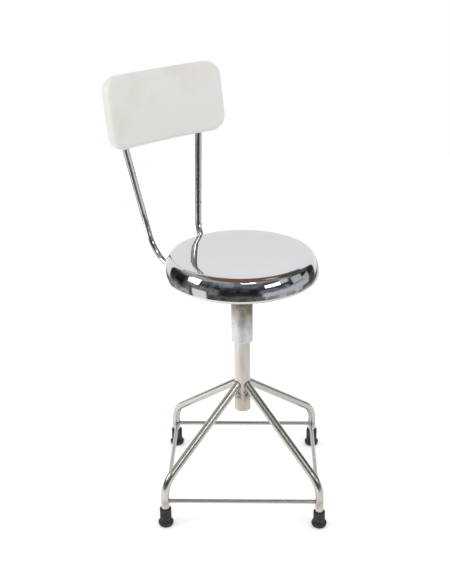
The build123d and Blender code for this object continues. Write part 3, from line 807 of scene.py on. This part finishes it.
# The room from straight down to straight up
roomBands = [
    (0, "#6E6E6A"), (0.455, "#5F605B"), (0.5, "#2A2B2A"), (0.56, "#2B2D30"), (0.62, "#4A5056"),
    (0.66, "#767C82"), (0.7, "#8F959A"), (0.74, "#999EA2"), (0.8, "#8A8A89"), (1, "#84827F"),
]
# What stands in it: turns in degrees from the camera, to the right, and heights in degrees
clutteredThings = {
    "leftFloor": {"turn": (-130, -82), "rise": (-50, -10), "colour": "#A9AA9F", "soft": 8},
    "leftWall": {"turn": (-92, -34), "rise": (-8, 14), "colour": "#7A7B7C", "soft": 8},
    "rightFloor": {"turn": (88, 142), "rise": (-50, -21), "colour": "#EDEDEA", "soft": 8},
    "rightWall": {"turn": (35, 98), "rise": (-40, 3), "colour": "#B6B8BA", "soft": 8},
    "rightShelf": {"turn": (26, 72), "rise": (0, 13), "colour": "#7E8082", "soft": 8},
    "rightDark": {"turn": (86, 140), "rise": (22, 60), "colour": "#58595A", "soft": 8},
}
plainThings = {
    "leftScreen": {"turn": (-75, -52), "rise": (-34, 0), "colour": "#FAFAFA", "soft": 4},
    "rightLow": {"turn": (30, 112), "rise": (-11, 1), "colour": "#C9CDD2", "soft": 5},
    "rightScreen": {"turn": (80, 99), "rise": (5, 22), "colour": "#C4C6C8", "soft": 5},
    "sideScreen": {"turn": (98, 114), "rise": (-5, 9), "colour": "#BDBDBC", "soft": 4},
    "rightLamp": {"turn": (61, 75), "rise": (19, 28), "colour": "#D2D6DC", "soft": 4},
    "ceiling": {"turn": (-190, 149), "rise": (62, 100), "colour": "#84604E", "soft": 5},
    "highLeft": {"turn": (-145, -22), "rise": (36, 62), "colour": "#B2B3B3", "soft": 8},
    "ceilingGap": {"turn": (16, 64), "rise": (58, 67), "colour": "#77787A", "soft": 4},
    "frontPanel": {"turn": (0, 26), "rise": (45, 57), "colour": "#FFFFFF", "soft": 5, "level": 4},
    "warmLamp": {"turn": (94, 124), "rise": (63, 72), "colour": "#FFDCC0", "soft": 6},
    "ceilingBehind": {"turn": (138, 222), "rise": (40, 100), "colour": "#84604E", "soft": 4},
    "paperBehind": {"turn": (133, 231), "rise": (-12, 39), "colour": "#FFFFFF", "soft": 5},
}


def layOver(tree, below, things, turn, wholeTurn, rise):
    # Soft-edged fields over what lies below; wholeTurn serves those that cross the back
    for thing in things.values():
        inside = None
        sideways = wholeTurn if thing["turn"][1] > 180 else turn
        for angle, edges in ((sideways, thing["turn"]), (rise, thing["rise"])):
            for edge, sign in zip(edges, (1, -1)):
                soft = radians(thing["soft"]) / 2 * sign
                step = addNode(tree, "MapRange", {
                    "Value": angle, "From Min": radians(edge) - soft,
                    "From Max": radians(edge) + soft}, interpolation_type="SMOOTHSTEP")
                if inside:
                    step = addNode(tree, "Math", {0: inside, 1: step}, operation="MULTIPLY")
                inside = step
        colour = [channel * thing.get("level", 1) for channel in linear(thing["colour"])]
        below = addNode(tree, "Mix", {"Factor": inside, "A": below, "B": colour}, data_type="RGBA")
    return below


def buildWorld():
    # Even light for matt surfaces, white for the camera, and the room for mirrors
    world = bpy.data.worlds.new("studio")
    bpy.context.scene.world = world
    world.use_nodes = True
    tree = world.node_tree
    direction = addNode(tree, "TexCoord").outputs["Generated"]
    seen = addNode(tree, "Mapping", {
        "Vector": direction, "Rotation": (0, 0, radians(studio["viewTurn"]))})
    axes = addNode(tree, "SeparateXYZ", {"Vector": seen})
    towards = addNode(tree, "Math", {0: axes.outputs["Y"], 1: -1}, operation="MULTIPLY")
    turn = addNode(tree, "Math", {0: axes.outputs["X"], 1: towards}, operation="ARCTAN2")
    onLeft = addNode(tree, "Math", {0: turn, 1: 0}, operation="LESS_THAN")
    wholeTurn = addNode(tree, "Math", {0: onLeft, 1: 2 * pi, 2: turn}, operation="MULTIPLY_ADD")
    rise = addNode(tree, "Math", {0: axes.outputs["Z"]}, operation="ARCSINE")
    height = addNode(tree, "MapRange", {"Value": rise, "From Min": -pi / 2, "From Max": pi / 2})
    room = addNode(tree, "ValToRGB", {"Fac": height}, stops=roomBands)
    blocks = addNode(tree, "TexVoronoi", {"Vector": seen, "Scale": studio["blockScale"]},
                     distance="CHEBYCHEV").outputs["Color"]
    patches = addNode(tree, "MapRange", {
        "Value": blocks, "From Min": 0.2, "From Max": 0.8, "To Min": 0.5, "To Max": 1.4})
    mirrored = layOver(tree, room, clutteredThings, turn, wholeTurn, rise)
    mirrored = addNode(tree, "Mix", {"Factor": 1.0, "A": mirrored, "B": patches},
                       data_type="RGBA", blend_type="MULTIPLY")
    mirrored = layOver(tree, mirrored, plainThings, turn, wholeTurn, rise)
    ray = addNode(tree, "LightPath")
    plain = (studio["plainLight"],) * 3 + (1,)
    lit = addNode(tree, "Mix", {
        "Factor": ray.outputs["Is Glossy Ray"], "A": plain, "B": mirrored}, data_type="RGBA")
    shown = addNode(tree, "Mix", {
        "Factor": ray.outputs["Is Camera Ray"], "A": lit, "B": (1, 1, 1, 1)}, data_type="RGBA")
    plug(tree, tree.nodes["Background"], {"Color": shown})


# Turn and rise as above, lengths in metres; level is the panel's own brightness
softboxes = {
    "left_softbox": {"turn": -74, "rise": 23.5, "distance": 2.2, "width": 0.75, "height": 0.85,
                     "level": 4},
    "right_softbox": {"turn": 46, "rise": 21, "distance": 2.4, "width": 0.95, "height": 0.36,
                      "level": 3},
}


def buildSoftboxes():
    aim = Vector((0, 0, studio["aimHeight"]))
    for name, box in softboxes.items():
        lamp = bpy.data.lights.new(name, "AREA")
        lamp.shape = "RECTANGLE"
        lamp.size = box["width"]
        lamp.size_y = box["height"]
        lamp.energy = box["level"] * pi * box["width"] * box["height"]
        stand = addObject(name, lamp)
        turn, rise = radians(box["turn"]), radians(box["rise"])
        reach = box["distance"] * cos(rise)
        up = box["distance"] * sin(rise)
        stand.location = aim + viewerSide(reach * sin(turn), reach * cos(turn), up)
        stand.rotation_euler = (aim - stand.location).to_track_quat("-Z", "Y").to_euler()


# Metres and degrees; focal length and image height in the photograph's pixels
camera = {"distance": 2.1324, "height": 1.43305, "pitch": 22.60, "yaw": -1.037, "roll": -0.865,
          "focal": 999.49, "imageHeight": 563, "sensor": 36}


def buildCamera():
    data = bpy.data.cameras.new("photo_camera")
    data.sensor_width = camera["sensor"]
    data.lens = camera["focal"] * camera["sensor"] / camera["imageHeight"]
    viewer = addObject("photo_camera", data)
    around = Matrix.Rotation(-radians(studio["viewTurn"]), 4, "Z")
    stand = Matrix.Translation((0, -camera["distance"], camera["height"]))
    yaw = Matrix.Rotation(-radians(camera["yaw"]), 4, "Z")
    pitch = Matrix.Rotation(radians(90 - camera["pitch"]), 4, "X")
    roll = Matrix.Rotation(radians(camera["roll"]), 4, "Z")
    viewer.matrix_world = around @ stand @ yaw @ pitch @ roll
    bpy.context.scene.camera = viewer


buildFloor()
buildWorld()
buildSoftboxes()
buildCamera()
bpy.context.scene.view_settings.view_transform = "Standard"
print("studio built")
